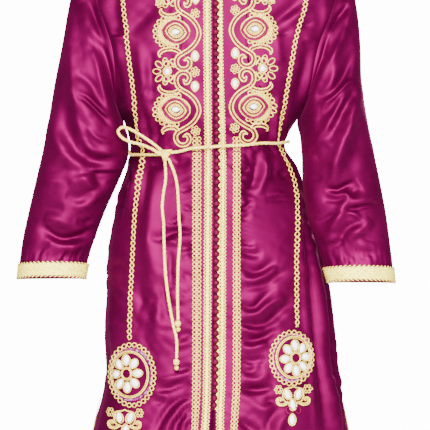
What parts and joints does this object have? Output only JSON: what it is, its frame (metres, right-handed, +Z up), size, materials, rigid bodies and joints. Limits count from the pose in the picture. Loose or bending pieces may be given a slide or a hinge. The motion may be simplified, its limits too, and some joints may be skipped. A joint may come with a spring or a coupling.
{
  "type": "embroidered tunic",
  "caption": "Knee-length satin tunic in worn form with gold braid, embroidered fronts, medallions, knotted centre closure and a tied cord belt.",
  "frame": {"origin": "midway between the two neck points of the shoulder seams, where the wearer's shoulders carry the tunic", "axes": "+Z up along the standing wearer, -Y out of the front, +X to the wearer's left"},
  "size_m": [0.6534, 0.3266, 0.9673],
  "materials": {
    "satin": "glossy magenta satin",
    "braid": "pale gold woven braid",
    "gold_thread": "gold couched cord",
    "silk_knot": "magenta silk knots",
    "stone": "clear faceted stones",
    "belt_cord": "pale gold twisted cord"
  },
  "bodies": {
    "root": {"front_right": "satin", "front_left": "satin", "back": "satin", "sleeve_right": "satin", "sleeve_left": "satin", "cuff_braid_right": "braid", "cuff_braid_left": "braid", "front_braid_right": "braid", "front_braid_left": "braid", "slit_trim_front_right": "braid", "slit_trim_front_left": "braid", "slit_trim_back_right": "braid", "slit_trim_back_left": "braid", "chain_band_right": "gold_thread", "chain_band_left": "gold_thread", "chain_line_right": "gold_thread", "chain_line_left": "gold_thread", "s_cord_right": "gold_thread", "s_cord_left": "gold_thread", "knot_row": "silk_knot", "eye_upper_right": "gold_thread", "eye_lower_right": "gold_thread", "eye_upper_left": "gold_thread", "eye_lower_left": "gold_thread", "flower_upper_right": "gold_thread", "flower_lower_right": "gold_thread", "flower_upper_left": "gold_thread", "flower_lower_left": "gold_thread", "medallion_right": "gold_thread", "medallion_left": "gold_thread", "stone_flower_right": "stone", "stone_flower_left": "stone", "stone_1_right": "stone", "stone_2_right": "stone", "stone_3_right": "stone", "stone_1_left": "stone", "stone_2_left": "stone", "stone_3_left": "stone", "stone_4_left": "stone", "belt_waist": "belt_cord", "belt_knot": "belt_cord", "belt_bow": "belt_cord", "belt_tail_1": "belt_cord", "belt_tail_1_knot": "belt_cord", "belt_tail_1_bead": "gold_thread", "belt_tail_2": "belt_cord", "belt_tail_2_knot": "belt_cord", "belt_tail_2_bead": "gold_thread"}
  },
  "joints": []
}
